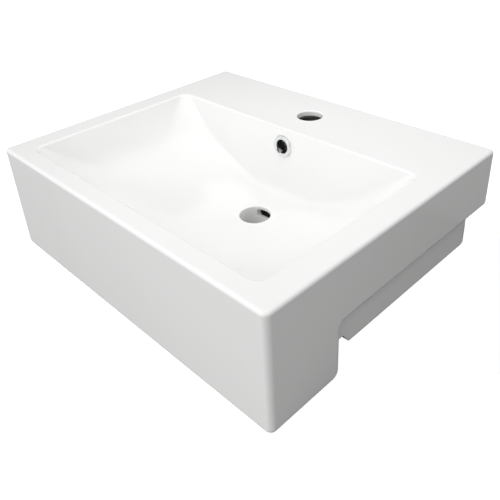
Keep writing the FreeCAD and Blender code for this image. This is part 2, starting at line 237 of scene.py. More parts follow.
@dataclass(frozen=True)
class Glaze(Finish):
    """White glaze on fired china, wiped off where the china stands or is bedded.

    The walls of the overflow's way out get a near-black painted shade, for the dark inside it.
    A low swell along the bowl's back edge is drawn by its normal.
    """

    clay: Colour = (0.78, 0.74, 0.67)
    roughness: float = 0.10
    coat: float = 0.35
    cloud_mm: float = 60.0
    cloud_tint: float = 0.985
    cloud_roughness: float = 0.03
    ripple_mm: float = 26.0
    ripple_depth_mm: float = 0.05
    bare_roughness: float = 0.60
    bare_below_mm: float = 80.0
    bare_fade_mm: float = 2.0
    bare_facing: tuple[float, float] = (-0.93, -0.985)
    bare_speck_mm: float = 0.9
    wiped_edge_mm: float = 5.0
    wiped_edge_waver: float = 0.06
    # Near-black painted shade on the walls of the overflow's way out, with its fade and its box.
    passage_shade: Colour = (0.05, 0.048, 0.045)
    passage_shade_fade_mm: float = 0.5
    passage_shade_box_mm: tuple[tuple[float, float], ...] = ((0.0, 0.0), (0.0, 0.0), (0.0, 0.0))
    swell_from_mm: float = 0.0
    swell_length_mm: float = 32.0
    swell_depth_mm: float = 1.0
    swell_middle_mm: float = 12.0
    swell_half_width_mm: float = 175.0

    def swell(self, place: Link) -> Link:
        """Give the height of the low swell along the bowl's back edge.

        It is (1 - t)^2 going back from the edge, with t the share of its length, and it fades to
        both sides as 1 - s^2, with s the share of the way to its end.

        Args:
            place: each point's own place.

        Returns:
            The height, from 0 to 1.
        """
        start, length = self.swell_from_mm * MM, self.swell_length_mm * MM
        half = self.swell_half_width_mm * MM
        back = place.part("Y").share(start + length, start)
        side = (place.part("X") - self.swell_middle_mm * MM) * (1.0 / half)
        fade = (1.0 - side * side).share(0.0, 1.0)
        return back * back * fade

    def passage_shade_mask(self, place: Link) -> Link:
        """Mark the walls of the overflow's way out, which get the painted shade.

        Args:
            place: each point's own place.

        Returns:
            1 within the passage's box, which falls smoothly to 0 outside each of its six sides.
        """
        fade = self.passage_shade_fade_mm
        sides = []
        for axis, (low, high) in zip("XYZ", self.passage_shade_box_mm):
            along = place.part(axis)
            sides += [along.step((low - fade) * MM, low * MM),
                      along.step((high + fade) * MM, high * MM)]
        return prod(sides)

    def bare(self, graph: Graph, place: Link) -> Link:
        """Mark the low faces that look down, where the glaze is wiped off with a wavering edge.

        Args:
            graph: where the nodes go.
            place: each point's own place.

        Returns:
            1 on bare clay and 0 under glaze.
        """
        top = self.bare_below_mm
        low = place.part("Z").step(top * MM, (top - self.bare_fade_mm) * MM)
        waver = (graph.grain(place, self.wiped_edge_mm) - 0.5) * self.wiped_edge_waver
        return (graph.facing_up() + waver).step(*self.bare_facing) * low

    def shade(self, graph: Graph) -> dict:
        """Glaze over all, with faint clouds, a faint ripple, bare clay where wiped, and painted
        shade in the way out.

        Args:
            graph: where the nodes go.

        Returns:
            The shader's sockets, each with its number, colour or link.
        """
        place = graph.place()
        cloud = graph.grain(place, self.cloud_mm)
        speck = graph.grain(place, self.bare_speck_mm, 4.0)
        ripple = graph.grain(place, self.ripple_mm, 1.0)
        bare = self.bare(graph, place)
        white = graph.mix(cloud, tinted(self.colour), tinted(self.colour, self.cloud_tint))
        height = ripple * (1.0 - bare) + speck * bare
        height = height + self.swell(place) * (self.swell_depth_mm / self.ripple_depth_mm)
        return {
            # The overflow's way out is painted near-black: painted shade, not the glaze's own
            # colour.
            "Base Color": graph.mix(self.passage_shade_mask(place),
                                    graph.mix(bare, white, tinted(self.clay)),
                                    tinted(self.passage_shade)),
            "Roughness": self.roughness + cloud * self.cloud_roughness
                         + bare * self.bare_roughness,
            "Normal": graph.bump(height, self.ripple_depth_mm),
            "IOR": 1.52,
            "Coat Weight": (1.0 - bare) * self.coat,
            "Coat Roughness": 0.03,
            "Coat IOR": 1.5,
        }


@dataclass(frozen=True)
class Chrome(Finish):
    """Polished chrome plate on a plastic ring, with painted shade down the tube past its mouth."""

    roughness: float = 0.05
    haze_mm: float = 4.0
    haze_roughness: float = 0.05
    wave_mm: float = 7.0
    wave_depth_mm: float = 0.02
    # Past the mouth the tube is painted near-black and matt: painted shade for the dark inside it.
    bare: Colour = (0.012, 0.012, 0.013)
    bare_roughness: float = 0.4
    tube_shade_from_mm: float = 1000.0
    tube_shade_fade_mm: float = 0.4

    def shade(self, graph: Graph) -> dict:
        """A mirror with faint haze and a very slight wave, and painted shade past the mouth.

        Args:
            graph: where the nodes go.

        Returns:
            The shader's sockets, each with its number, colour or link.
        """
        place = graph.place()
        haze = graph.grain(place, self.haze_mm, 3.0)
        wave = graph.grain(place, self.wave_mm, 1.0)
        # Past the mouth's plane, the mirror gives way to the painted shade.
        end = self.tube_shade_from_mm
        past = place.part("Y").step(end * MM, (end + self.tube_shade_fade_mm) * MM)
        return {
            "Base Color": graph.mix(past, tinted(self.colour), tinted(self.bare)),
            "Metallic": 1.0 - past,
            "Roughness": self.roughness + haze * self.haze_roughness + past * self.bare_roughness,
            "Normal": graph.bump(wave, self.wave_depth_mm),
        }


@dataclass(frozen=True)
class Moulded(Finish):
    """Moulded plastic or rubber."""

    roughness: float = 0.45
    grain_mm: float = 0.5
    grain_roughness: float = 0.12
    grain_depth_mm: float = 0.02
    cloud_mm: float = 6.0
    cloud_tint: float = 1.25

    def shade(self, graph: Graph) -> dict:
        """One colour with faint clouds and a fine spark-eroded grain.

        Args:
            graph: where the nodes go.

        Returns:
            The shader's sockets, each with its number, colour or link.
        """
        place = graph.place()
        speck = graph.grain(place, self.grain_mm, 3.0)
        cloud = graph.grain(place, self.cloud_mm)
        return {
            "Base Color": graph.mix(cloud, tinted(self.colour),
                                    tinted(self.colour, self.cloud_tint)),
            "Roughness": self.roughness + speck * self.grain_roughness,
            "Normal": graph.bump(speck, self.grain_depth_mm),
        }


@dataclass(frozen=True)
class Surroundings(Finish):
    """A matt surface round the basin, which may glow white by itself."""

    glow: float = 0.0

    def shade(self, graph: Graph) -> dict:
        """One flat colour, with no shine.

        Args:
            graph: where the nodes go.

        Returns:
            The shader's sockets, each with its number or colour.
        """
        return {
            "Base Color": tinted(self.colour),
            "Roughness": 1.0,
            "Specular IOR Level": 0.0,
            "Emission Color": (1.0, 1.0, 1.0, 1.0),
            "Emission Strength": self.glow,
        }


GLAZE = Glaze("glaze", (0.885, 0.888, 0.879))
CHROME = Chrome("chrome_plate", (0.78, 0.79, 0.80))
CLIP_PLASTIC = Moulded("clip_plastic", (0.055, 0.056, 0.06))
SEAL_RUBBER = Moulded("seal_rubber", (0.03, 0.03, 0.031), roughness=0.7, grain_mm=0.3)
PALE_FLOOR = Surroundings("pale_floor", (0.3, 0.3, 0.3), glow=1.0)
DARK_CARD = Surroundings("dark_card", (0.02, 0.02, 0.02))
WHITE_DOME = Surroundings("white_dome", (0.0, 0.0, 0.0), glow=1.0)


# ---------------------------------------------------------------- meshes
def tiles(rows: int, columns: int, ring: bool = False) -> Array:
    """Give the faces between rows of points, where every row is a closed loop.

    Args:
        rows: how many rows there are.
        columns: how many points each row has.
        ring: whether the last row joins the first.

    Returns:
        The numbers of each face's points, of shape (faces, 4).
    """
    index = np.arange(rows * columns).reshape(rows, columns)
    if ring:
        index = np.vstack([index, index[:1]])
    beside = np.roll(index, -1, axis=1)
    return np.stack([index[:-1], beside[:-1], beside[1:], index[1:]], axis=-1).reshape(-1, 4)


def place_mesh(name: str, points: list, faces: list) -> bpy.types.Object:
    """Make an object at the origin and add it to the scene.

    Args:
        name: its name.
        points: its points in metres.
        faces: its faces, as the numbers of their points.

    Returns:
        The object.
    """
    mesh = bpy.data.meshes.new(name)
    mesh.from_pydata(points, [], faces)
    thing = bpy.data.objects.new(name, mesh)
    bpy.context.scene.collection.objects.link(thing)
    return thing


def weld(piece: bpy.types.Object, distance: float = 1e-7) -> None:
    """Merge a piece's doubled points and turn its faces outwards.

    Args:
        piece: the piece.
        distance: how near in metres two points are that count as one.
    """
    cage = bmesh.new()
    cage.from_mesh(piece.data)
    bmesh.ops.remove_doubles(cage, verts=cage.verts, dist=distance)
    bmesh.ops.recalc_face_normals(cage, faces=cage.faces)
    if cage.calc_volume(signed=True) < 0:
        bmesh.ops.reverse_faces(cage, faces=cage.faces)
    cage.to_mesh(piece.data)
    cage.free()


def solid(name: str, grid: Array, ring: bool = False) -> bpy.types.Object:
    """Make a closed mesh from rows of points.

    Args:
        name: the object's name.
        grid: points in mm, of shape (rows, columns, 3). Every row is a closed loop.
        ring: whether the last row joins the first. If not, both end rows get a flat cap.

    Returns:
        An object at the origin, in metres, with its faces outwards.
    """
    rows, columns = grid.shape[:2]
    faces = tiles(rows, columns, ring).tolist()
    if not ring:
        first = list(range(columns))
        faces += [first[::-1], [number + (rows - 1) * columns for number in first]]
    piece = place_mesh(name, (grid.reshape(-1, 3) * MM).tolist(), faces)
    weld(piece)
    return piece


def bake(piece: bpy.types.Object) -> None:
    """Make a piece's modifiers part of its mesh.

    Args:
        piece: the piece.
    """
    graph = bpy.context.evaluated_depsgraph_get()
    mesh = bpy.data.meshes.new_from_object(piece.evaluated_get(graph))
    piece.modifiers.clear()
    piece.data = mesh


class Join(Enum):
    """How one solid changes another."""

    ADD = "UNION"
    TAKE = "DIFFERENCE"


def shape(base: bpy.types.Object, steps: list[tuple[Join, bpy.types.Object]]) -> None:
    """Add solids to a base and take others from it, in order.

    Args:
        base: the object that changes.
        steps: each way of joining, with its solid, which is used up.
    """
    for way, tool in steps:
        modifier = base.modifiers.new(tool.name, "BOOLEAN")
        modifier.operation = way.value
        modifier.solver = "MANIFOLD"
        modifier.object = tool
    bake(base)
    for _, tool in steps:
        bpy.data.objects.remove(tool)


def finish_piece(piece: bpy.types.Object, finish: Finish, body: str, node: str,
                 sharp_degrees: float = 32.0) -> None:
    """Dress a piece, smooth it, keep its real edges and put it on its body.

    Args:
        piece: the piece.
        finish: its finish.
        body: the body that it rides on.
        node: the node that it stands for.
        sharp_degrees: the least bend between two faces that reads as an edge.
    """
    piece.data.materials.clear()
    piece.data.materials.append(finish.material())
    piece.data.shade_smooth()
    piece.data.set_sharp_from_angle(angle=radians(sharp_degrees))
    weighted = piece.modifiers.new("even_shading", "WEIGHTED_NORMAL")
    weighted.keep_sharp = True
    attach(piece, body)
    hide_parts(node)
    LOG.info("%s: %d faces for %s", piece.name, len(piece.data.polygons), node)


# ---------------------------------------------------------------- prisms
@dataclass(frozen=True)
class Corner:
    """A corner of a prism's outline.

    radius rounds the corner itself. end_radius rounds the edge that leaves the corner, where it
    meets the prism's two ends.
    """

    y: float
    z: float
    radius: float = 0.0
    end_radius: float = 0.0


@dataclass(frozen=True)
class Prism:
    """An outline in the YZ plane, carried across X, with every edge rounded as a ball rolls."""

    corners: tuple[Corner, ...]
    half_width: float
    arc_steps: int = 10
    end_steps: int = 20

    def _stations(self) -> Array:
        """Place the prism's rows, closer together where its ends turn.

        Returns:
            The rows' places along X.
        """
        turns = np.radians(np.linspace(0, 90, self.end_steps + 1))
        radii = sorted({corner.end_radius for corner in self.corners} - {0.0})
        if not radii:
            return np.array([-self.half_width, self.half_width])
        largest = radii[-1]
        outer = self.half_width - largest + largest * np.sin(turns)
        starts = [self.half_width - radius for radius in radii[:-1]]
        # Rounded, so that a place that comes twice is kept once.
        right = np.unique(np.round(np.concatenate([outer, starts]), 4))
        return np.concatenate([-right[::-1], right])

    def _insets(self, x: Array) -> Array:
        """Give how far each edge has come in at each place: e - sqrt(e^2 - (way past its start)^2).

        Args:
            x: the places along X.

        Returns:
            An array of shape (places, edges).
        """
        end = np.array([corner.end_radius for corner in self.corners])
        past = np.clip(np.abs(x)[:, None] - (self.half_width - end), 0.0, end)
        return end - np.sqrt(end ** 2 - past ** 2)

    def _swept(self, place: Array, normals: Array, insets: Array, radius: float,
               turn: float) -> Array:
        """Round a corner between two edges that come in alike.

        The arc keeps its centre, so its radius shrinks by the inset, or grows at a hollow corner.

        Args:
            place: the corner.
            normals: the inward normals of the edges before and after it.
            insets: both edges' insets at each place along X.
            radius: the corner's radius.
            turn: how far the outline turns, in radians, negative at a hollow corner.

        Returns:
            Points of shape (places, steps, 2).
        """
        before, after = normals
        share = before @ after
        d_before, d_after = insets[:, :1], insets[:, 1:]
        corner = place + (before * (d_before - share * d_after)
                          + after * (d_after - share * d_before)) / (1 - share ** 2)
        if not radius:
            return corner[:, None]
        signed = np.sign(turn) * radius - np.minimum(d_before, d_after)
        along = np.array([before[1], -before[0]])
        centre = corner - along * np.abs(signed) * np.tan(abs(turn) / 2) + before * signed
        angles = np.arctan2(before[1], before[0]) + turn * np.linspace(0, 1, self.arc_steps + 1)
        spokes = np.stack([np.cos(angles), np.sin(angles)], axis=-1)
        return centre[:, None] - spokes * signed[:, None]

    def _rolled(self, place: Array, normals: Array, ends: tuple[float, float],
                x: Array) -> Array:
        """Round a corner between edges with unlike end radii, as a ball rolls round the larger.

        With R the larger radius, r the smaller and a the way past the larger one's start, a point
        at angle t stands sqrt((R - r + r cos t)^2 - a^2) out on one side and r sin t on the other.

        Args:
            place: the corner.
            normals: the inward normals of the edges before and after it.
            ends: those edges' end radii.
            x: the places along X.

        Returns:
            Points of shape (places, steps, 2).
        """
        large, small = max(ends), min(ends)
        big, little = normals if ends[0] == large else normals[::-1]
        past = np.clip(np.abs(x) - (self.half_width - large), 0.0, large)
        last = np.arccos(np.clip((past - (large - small)) / small, 0.0, 1.0))
        angles = last[:, None] * np.linspace(0, 1, self.arc_steps + 1)
        reach = large - small + small * np.cos(angles)
        out = np.sqrt(np.maximum(reach ** 2 - past[:, None] ** 2, 0.0))
        core = place + big * large + little * small
        points = core - big * out[..., None] - little * (small * np.sin(angles))[..., None]
        return points if ends[0] == large else points[:, ::-1]

    def grid(self) -> Array:
        """Work out the prism's surface, corner by corner.

        Returns:
            Its points, with one row for each place along X.
        """
        places = np.array([(corner.y, corner.z) for corner in self.corners])
        along = np.roll(places, -1, axis=0) - places
        along /= np.linalg.norm(along, axis=1, keepdims=True)
        inward = np.stack([-along[:, 1], along[:, 0]], axis=-1)
        x = self._stations()
        insets = self._insets(x)
        outline = []
        for after, corner in enumerate(self.corners):
            before = after - 1
            normals = inward[[before, after]]
            ends = (self.corners[before].end_radius, corner.end_radius)
            if ends[0] != ends[1] and corner.radius == min(ends) > 0:
                outline.append(self._rolled(places[after], normals, ends, x))
            else:
                cross = along[before, 0] * along[after, 1] - along[before, 1] * along[after, 0]
                turn = np.arctan2(cross, along[before] @ along[after])
                pair = insets[:, [before, after]]
                outline.append(self._swept(places[after], normals, pair, corner.radius, turn))
        flat = np.concatenate(outline, axis=1)
        across = np.broadcast_to(x[:, None, None], (*flat.shape[:2], 1))
        return np.concatenate([across, flat], axis=-1)


# ---------------------------------------------------------------- turned shapes
def turned(profile: Array, steps: int, centre: tuple[float, float, float],
           lean: float = 0.0) -> Array:
    """Turn a profile round its own axis, which points up, or out of the wall where it leans.

    A point at radius r and angle t is at (r cos t, r sin t).

    Args:
        profile: radii and heights, of shape (rows, 2).
        steps: the number of points round it.
        centre: where height 0 is.
        lean: how far the axis is tipped forwards from +Z, in radians.

    Returns:
        Points of shape (rows, steps, 3).
    """
    angles = np.linspace(0, 2 * pi, steps, endpoint=False)
    radius, height = profile[:, :1], profile[:, 1:]
    points = np.stack(np.broadcast_arrays(radius * np.cos(angles), radius * np.sin(angles),
                                          height), axis=-1)
    tip = np.array(Matrix.Rotation(lean, 3, "X"))
    return points @ tip.T + np.array(centre)


def arc(radius: float, height: float, size: float, start: float, end: float,
        steps: int) -> Array:
    """Give an arc of a profile.

    Args:
        radius: the radius at its centre.
        height: the height of its centre.
        size: the arc's own radius.
        start: its first angle, in degrees from the outward direction.
        end: its last angle.
        steps: how many steps it has.

    Returns:
        Radii and heights, of shape (steps + 1, 2).
    """
    angles = np.radians(np.linspace(start, end, steps + 1))
    return np.stack([radius + size * np.cos(angles), height + size * np.sin(angles)], axis=-1)


def raised(points: Array, height: Array) -> Array:
    """Give each row of flat points its height."""
    up = np.broadcast_to(height[:, None, None], (*points.shape[:2], 1))
    return np.concatenate([points, up], axis=-1)


# ---------------------------------------------------------------- bowl
@dataclass(frozen=True)
class Section:
    """A level of the bowl: its depth, its walls' shares of the way in to the drain, and how round
    it is, as its corner radius over half its length."""

    depth: float
    side: float
    front: float
    back: float
    roundness: float


def natural_spline(knots: Array, values: Array, at: Array) -> Array:
    """Draw the smoothest cubic curve through points, with no bend at its two ends.

    Args:
        knots: the points' places along the curve.
        values: the points, of shape (points, numbers).
        at: the places wanted.

    Returns:
        The curve's points there. In each span it is the line between the span's ends, less
        w(1 - w)h^2 / 6 times a blend of the second slopes found from the tridiagonal equations.
    """
    gaps = np.diff(knots)[:, None]
    slopes = np.diff(values, axis=0) / gaps
    count = len(knots)
    matrix = np.eye(count)
    bends = np.zeros_like(values)
    inner = np.arange(1, count - 1)
    matrix[inner, inner] = 2 * (gaps[:-1, 0] + gaps[1:, 0])
    matrix[inner, inner - 1] = gaps[:-1, 0]
    matrix[inner, inner + 1] = gaps[1:, 0]
    bends[1:-1] = 6 * np.diff(slopes, axis=0)
    bends = np.linalg.solve(matrix, bends)
    span = np.clip(np.searchsorted(knots, at) - 1, 0, count - 2)
    gap = gaps[span]
    w = (at - knots[span])[:, None] / gap
    line = values[span] * (1 - w) + values[span + 1] * w
    return line - w * (1 - w) * gap ** 2 / 6 * (bends[span] * (2 - w) + bends[span + 1] * (1 + w))


@dataclass(frozen=True)
class Bowl:
    """The bowl's inner surface, with its rim, its waste hole and its lip."""

    top: float
    half_width: float
    front: float
    back: float
    waste_y: float
    drain_half: float = 30.0
    drain_reach: float = 27.0
    waste_bore: float = 22.5
    waste_lip: float = 1.5
    rim_edge: float = 2.5
    rear_share: float = 0.35
    rear_reach: float = 190.0
    side_points: int = 36
    corner_points: int = 22
    rim_start_degrees: float = 2.5
    rim_rows: int = 18
    wall_rows: int = 84
    seat_rows: int = 6
    lip_rows: int = 6
    shell_rows: int = 48
    fine_steps: int = 2000
    sections: tuple[Section, ...] = (
        Section(0, 0, 0, 0, 0.09),
        Section(30, 0.037, 0.039, 0.043, 0.335),
        Section(60, 0.111, 0.128, 0.086, 0.572),
        Section(85, 0.284, 0.322, 0.176, 0.852),
        Section(100, 0.537, 0.572, 0.351, 0.903),
        Section(108, 0.763, 0.794, 0.595, 0.906),
        Section(115, 1, 1, 1, 0.926),
    )

    @property
    def floor(self) -> float:
        """The height of the floor at the waste hole."""
        return self.top - self.sections[-1].depth

    def _levels(self) -> tuple[Array, Array]:
        """Work out the sections' real sizes.

        Returns:
            Each section's place along the bowl's profile, and its depth, half width, front edge,
            back edge and corner radius in mm.
        """
        shares = np.array([(s.depth, s.side, s.front, s.back, s.roundness)
                           for s in self.sections])
        half = self.half_width - shares[:, 1] * (self.half_width - self.drain_half)
        front = self.front + shares[:, 2] * (self.waste_y - self.drain_reach - self.front)
        back = self.back - shares[:, 3] * (self.back - self.waste_y - self.drain_reach)
        corner = shares[:, 4] * (back - front) / 2
        levels = np.stack([shares[:, 0], half, front, back, corner], axis=-1)
        steps = np.hypot(np.diff(levels[:, 0]), np.diff(half))
        return np.concatenate([[0.0], np.cumsum(steps)]), levels

    def _places(self, depths: Array) -> Array:
        """Find where along its profile the bowl has given depths.

        Args:
            depths: the depths, or one depth.

        Returns:
            The places, read off the profile drawn in fine steps.
        """
        knots, levels = self._levels()
        fine = np.linspace(0, knots[-1], self.fine_steps)
        return np.interp(depths, natural_spline(knots, levels, fine)[:, 0], fine)

    def _outlines(self, half: Array, front: Array, back: Array, corner: Array,
                  grow: float) -> tuple[Array, Array]:
        """Give rounded rectangles, one for each row, and the directions out of them.

        Each starts at its front left and runs anticlockwise: a side, then a corner's quarter
        circle, four times.

        Args:
            half: half widths.
            front: the front edges.
            back: the back edges.
            corner: the corner radii.
            grow: how much larger all round they are.

        Returns:
            Points and unit directions, each of shape (rows, columns, 2).
        """
        half, front, back, corner = (part[:, None] for part in (
            half + grow, front - grow, back + grow, corner + grow))
        sides = np.linspace(0, 1, self.side_points + 1)[:-1]
        turns = np.radians(np.linspace(0, 90, self.corner_points + 1))[:-1]
        hubs = ((half - corner, front + corner), (half - corner, back - corner),
                (-half + corner, back - corner), (-half + corner, front + corner))
        points, ways = [], []
        for number, (hub_x, hub_y) in enumerate(hubs):
            last_x, last_y = hubs[number - 1]
            start = radians(90 * number - 90)
            out = np.array([cos(start), sin(start)])
            run_x = last_x + (hub_x - last_x) * sides + corner * out[0]
            run_y = last_y + (hub_y - last_y) * sides + corner * out[1]
            spokes = np.stack([np.cos(turns + start), np.sin(turns + start)], axis=-1)
            points += [np.stack([run_x, run_y], axis=-1),
                       np.stack([hub_x + corner * spokes[:, 0],
                                 hub_y + corner * spokes[:, 1]], axis=-1)]
            ways += [np.broadcast_to(out, (len(sides), 2)), spokes]
        return np.concatenate(points, axis=1), np.concatenate(ways)

    def _walls(self, along: Array, grow: float) -> tuple[Array, Array, Array]:
        """Draw the bowl's outlines at places along its profile.

        Args:
            along: the places.
            grow: how much larger all round the outlines are.

        Returns:
            Each outline's points, their directions out of the bowl, and the outlines' depths.
        """
        depth, half, front, back, corner = natural_spline(*self._levels(), along).T
        points, directions = self._outlines(half, front, back, corner, grow)
        return points, directions, depth

    def _rim(self) -> Array:
        """Roll from the deck into the bowl.

        Each row is a step round a quarter circle of rim_edge's radius. Along the back, where the
        edge is crisp, the radius shrinks to rear_share of that. The shrinking fades to both sides
        as (1 - (x / rear_reach)^2)^1.5, and round the corners as the square of how far the edge
        faces the back.

        Returns:
            The rows, and one above them.
        """
        turns = np.radians([0.0, *np.linspace(self.rim_start_degrees, 90, self.rim_rows)])
        drops = self.rim_edge * (1 - np.cos(turns))
        points, directions, _ = self._walls(self._places(drops), 0.0)
        reach = np.clip(1 - (np.abs(points[-1, :, 0]) / self.rear_reach) ** 2, 0, 1) ** 1.5
        at_back = np.clip(directions[:, 1], 0, 1) ** 2
        share = 1 - (1 - self.rear_share) * reach * at_back
        out = self.rim_edge * (1 - np.sin(turns))[:, None] * share
        height = self.top + SKIN - drops[:, None] * share
        rows = np.concatenate([points + directions * out[..., None], height[..., None]], axis=-1)
        return np.concatenate([rows[:1] + np.array([0.0, 0.0, ABOVE]), rows])

    def inside(self) -> Array:
        """Draw the bowl's air as a closed solid: rim, walls, floor, waste lip and bore.

        Returns:
            Its rows, from the top down.
        """
        knots, _ = self._levels()
        along = np.linspace(self._places(self.rim_edge), knots[-1], self.wall_rows + 1)[1:]
        points, _, depth = self._walls(along, 0.0)
        middle = np.array([0.0, self.waste_y])
        spokes = points[-1] - middle
        spokes /= np.linalg.norm(spokes, axis=1, keepdims=True)
        lip = self.waste_bore + self.waste_lip
        shares = np.linspace(0, 1, self.seat_rows + 1)[1:, None, None]
        seat = points[-1] * (1 - shares) + (middle + spokes * lip) * shares
        edge = arc(lip, self.floor - self.waste_lip, self.waste_lip, 90, 180, self.lip_rows)[1:]
        profile = np.concatenate([edge, [[self.waste_bore, BELOW]]])
        bore = middle + spokes * profile[:, 0][:, None, None]
        return np.concatenate([
            self._rim(),
            raised(points, self.top - depth),
            raised(seat, np.full(len(seat), self.floor)),
            raised(bore, profile[:, 1]),
        ])

    def shell(self, wall: float) -> Array:
        """Draw the bowl's outside as a closed solid.

        Args:
            wall: how thick the bowl's wall is, which it is out and down by.

        Returns:
            Its rows, from the top down.
        """
        knots, _ = self._levels()
        points, _, depth = self._walls(np.linspace(0, knots[-1], self.shell_rows), wall)
        return raised(points, self.top - depth - wall)


# ---------------------------------------------------------------- china
@dataclass(frozen=True)
class China:
    """The fired basin: apron, deck, skirt, lower body, bowl, waste boss and overflow channel."""

    half_width: float
    front: float
    back: float
    top: float
    apron_depth: float = 108.0
    skirt_height: float = 82.0
    front_corner: float = 8.0
    side_edge: float = 5.5
    top_edge: float = 5.0
    apron_heel: float = 11.0
    notch_hollow: float = 6.0
    skirt_tail: float = 7.0
    side_step: float = 10.0
    rear_step: float = 18.0
    web_drop: float = 35.0
    web_length: float = 17.0
    foot_drop: float = 19.0
    foot_slope: float = 14.0
    foot_nose: float = 2.5
    body_corner: float = 20.0
    body_edge: float = 6.0
    shell: float = 10.0
    deck_thickness: float = 11.0
    bowl_wall: float = 8.0
    inner_round: float = 5.0
    inner_corner: float = 12.0
    side_rim: float = 35.0
    front_rim: float = 27.0
    rear_deck: float = 122.0
    waste_from_back: float = 186.0
    waste_wall: float = 10.0
    waste_length: float = 35.0
    boss_chamfer: float = 1.0
    tap_bore: float = 18.5
    tap_from_back: float = 64.0
    tap_lip: float = 2.5
    tap_lip_steps: int = 10
    tap_relief: float = 3.0
    overflow_drop: float = 28.5
    overflow_bore: float = 12.5
    channel_width: float = 34.0
    channel_depth: float = 14.0
    channel_wall: float = 7.0
    channel_head: float = 3.0
    slot_width: float = 28.0
    slot_height: float = 12.0
    slot_drop: float = 5.0
    # The painted shade in the overflow's way out starts this far past the waste bore and reaches
    # this far past the channel.
    unshaded_mouth: float = 3.0
    passage_shade_margin: float = 0.5
    round_steps: int = 96

    @property
    def notch(self) -> float:
        """The place of the apron's rear face."""
        return self.front + self.apron_depth

    @property
    def skirt_base(self) -> float:
        """The height of the skirt's underside."""
        return self.top - self.skirt_height

    @property
    def underside(self) -> float:
        """The height of the deck's underside."""
        return self.top - self.deck_thickness

    @property
    def bowl(self) -> Bowl:
        """The bowl."""
        return Bowl(
            top=self.top,
            half_width=self.half_width - self.side_rim,
            front=self.front + self.front_rim,
            back=self.back - self.rear_deck,
            waste_y=self.back - self.waste_from_back,
        )

    @property
    def slot_levels(self) -> tuple[float, float]:
        """The heights of the bottom and the top of the overflow's way out."""
        top = self.bowl.floor - self.slot_drop
        return top - self.slot_height, top

    @property
    def passage_round(self) -> float:
        """The radius of the edges inside the overflow's way down and out."""
        return self.slot_height / 4

    @property
    def overflow(self) -> tuple[float, float, float]:
        """Work out where the overflow hole is, on the bowl's back wall.

        Returns:
            Its mouth's place along Y, its height, and how far the wall leans back, in radians.
        """
        wall, drop = self.bowl.sections[1], self.overflow_drop
        run = self.bowl.back - self.bowl.waste_y - self.bowl.drain_reach
        slope = run * wall.back / wall.depth
        return self.bowl.back - slope * drop, self.top - drop, atan(slope)

    def outside(self) -> Prism:
        """Give the apron and the skirt."""
        side = self.side_edge
        return Prism((
            Corner(self.front, 0.0, side, side),
            Corner(self.notch, 0.0, self.apron_heel, side),
            Corner(self.notch, self.skirt_base, self.notch_hollow, side),
            Corner(self.back, self.skirt_base, self.skirt_tail, side),
            Corner(self.back, self.top, self.top_edge, self.top_edge),
            Corner(self.front, self.top, self.top_edge, self.front_corner),
        ), self.half_width)

    def lower_body(self) -> Prism:
        """Draw the web behind the apron and the foot, which go down through the counter.

        Returns:
            Their prism, which reaches into the apron and the skirt.
        """
        web = self.skirt_base - self.web_drop
        foot = web - self.foot_drop
        rear = self.back - self.rear_step
        hidden_front, hidden_top = self.notch - self.shell / 2, self.skirt_base + self.shell / 2
        return Prism((
            Corner(hidden_front, web),
            Corner(self.notch + self.web_length, web),
            Corner(self.notch + self.web_length + self.foot_slope, foot, self.foot_nose,
                   self.body_edge),
            Corner(rear, foot, self.body_edge, self.body_corner),
            Corner(rear, hidden_top),
            Corner(hidden_front, hidden_top),
        ), self.half_width - self.side_step)

    def upper_hollow(self) -> Prism:
        """Draw the air inside the apron and the skirt.

        Returns:
            Its prism.
        """
        ease, base = self.inner_round, self.skirt_base + self.shell
        front, notch = self.front + self.shell, self.notch - self.shell
        places = ((front, self.shell), (notch, self.shell), (notch, base),
                  (self.back - self.shell, base), (self.back - self.shell, self.underside),
                  (front, self.underside))
        return Prism(tuple(Corner(y, z, ease, ease) for y, z in places),
                     self.half_width - self.shell, HOLLOW_STEPS, HOLLOW_STEPS)

    def lower_hollow(self) -> Prism:
        """Draw the air inside the lower body, which is open underneath.

        Returns:
            Its prism, which reaches below the basin.
        """
        web = self.skirt_base - self.web_drop + self.shell
        foot_front = self.notch + self.web_length + self.foot_slope + self.shell
        rear = self.back - self.rear_step - self.shell
        ceiling = self.underside - self.shell
        return Prism((
            Corner(self.notch, web),
            Corner(foot_front, web),
            Corner(foot_front, BELOW),
            Corner(rear, BELOW, 0.0, self.inner_corner),
            Corner(rear, ceiling),
            Corner(self.notch, ceiling),
        ), self.half_width - self.side_step - self.shell, HOLLOW_STEPS, 2 * HOLLOW_STEPS)

    def boss(self) -> Array:
        """Draw the boss round the waste hole.

        Returns:
            Its rows, from the top down.
        """
        radius, floor = self.bowl.waste_bore + self.waste_wall, self.bowl.floor
        base = floor - self.waste_length
        profile = np.array([[radius, floor + OVERLAP], [radius, base + self.boss_chamfer],
                            [radius - self.boss_chamfer, base]])
        return turned(profile, self.round_steps, (0.0, self.bowl.waste_y, 0.0))

    def duct(self) -> Prism:
        """Draw the walls of the overflow channel, behind the bowl and under its floor.

        Returns:
            Their prism, which reaches into the deck and the bowl.
        """
        front, floor = self.bowl.back, self.bowl.floor
        rear = front + self.bowl_wall + self.channel_depth + self.channel_wall
        base = self.slot_levels[0] - self.channel_wall
        ceiling, ease = self.underside + OVERLAP, self.inner_round
        return Prism((
            Corner(self.bowl.waste_y, base, 0.0, ease),
            Corner(rear, base, ease, ease),
            Corner(rear, ceiling),
            Corner(front, ceiling),
            Corner(front, floor),
            Corner(self.bowl.waste_y, floor),
        ), self.channel_width / 2 + self.channel_wall, HOLLOW_STEPS, HOLLOW_STEPS)

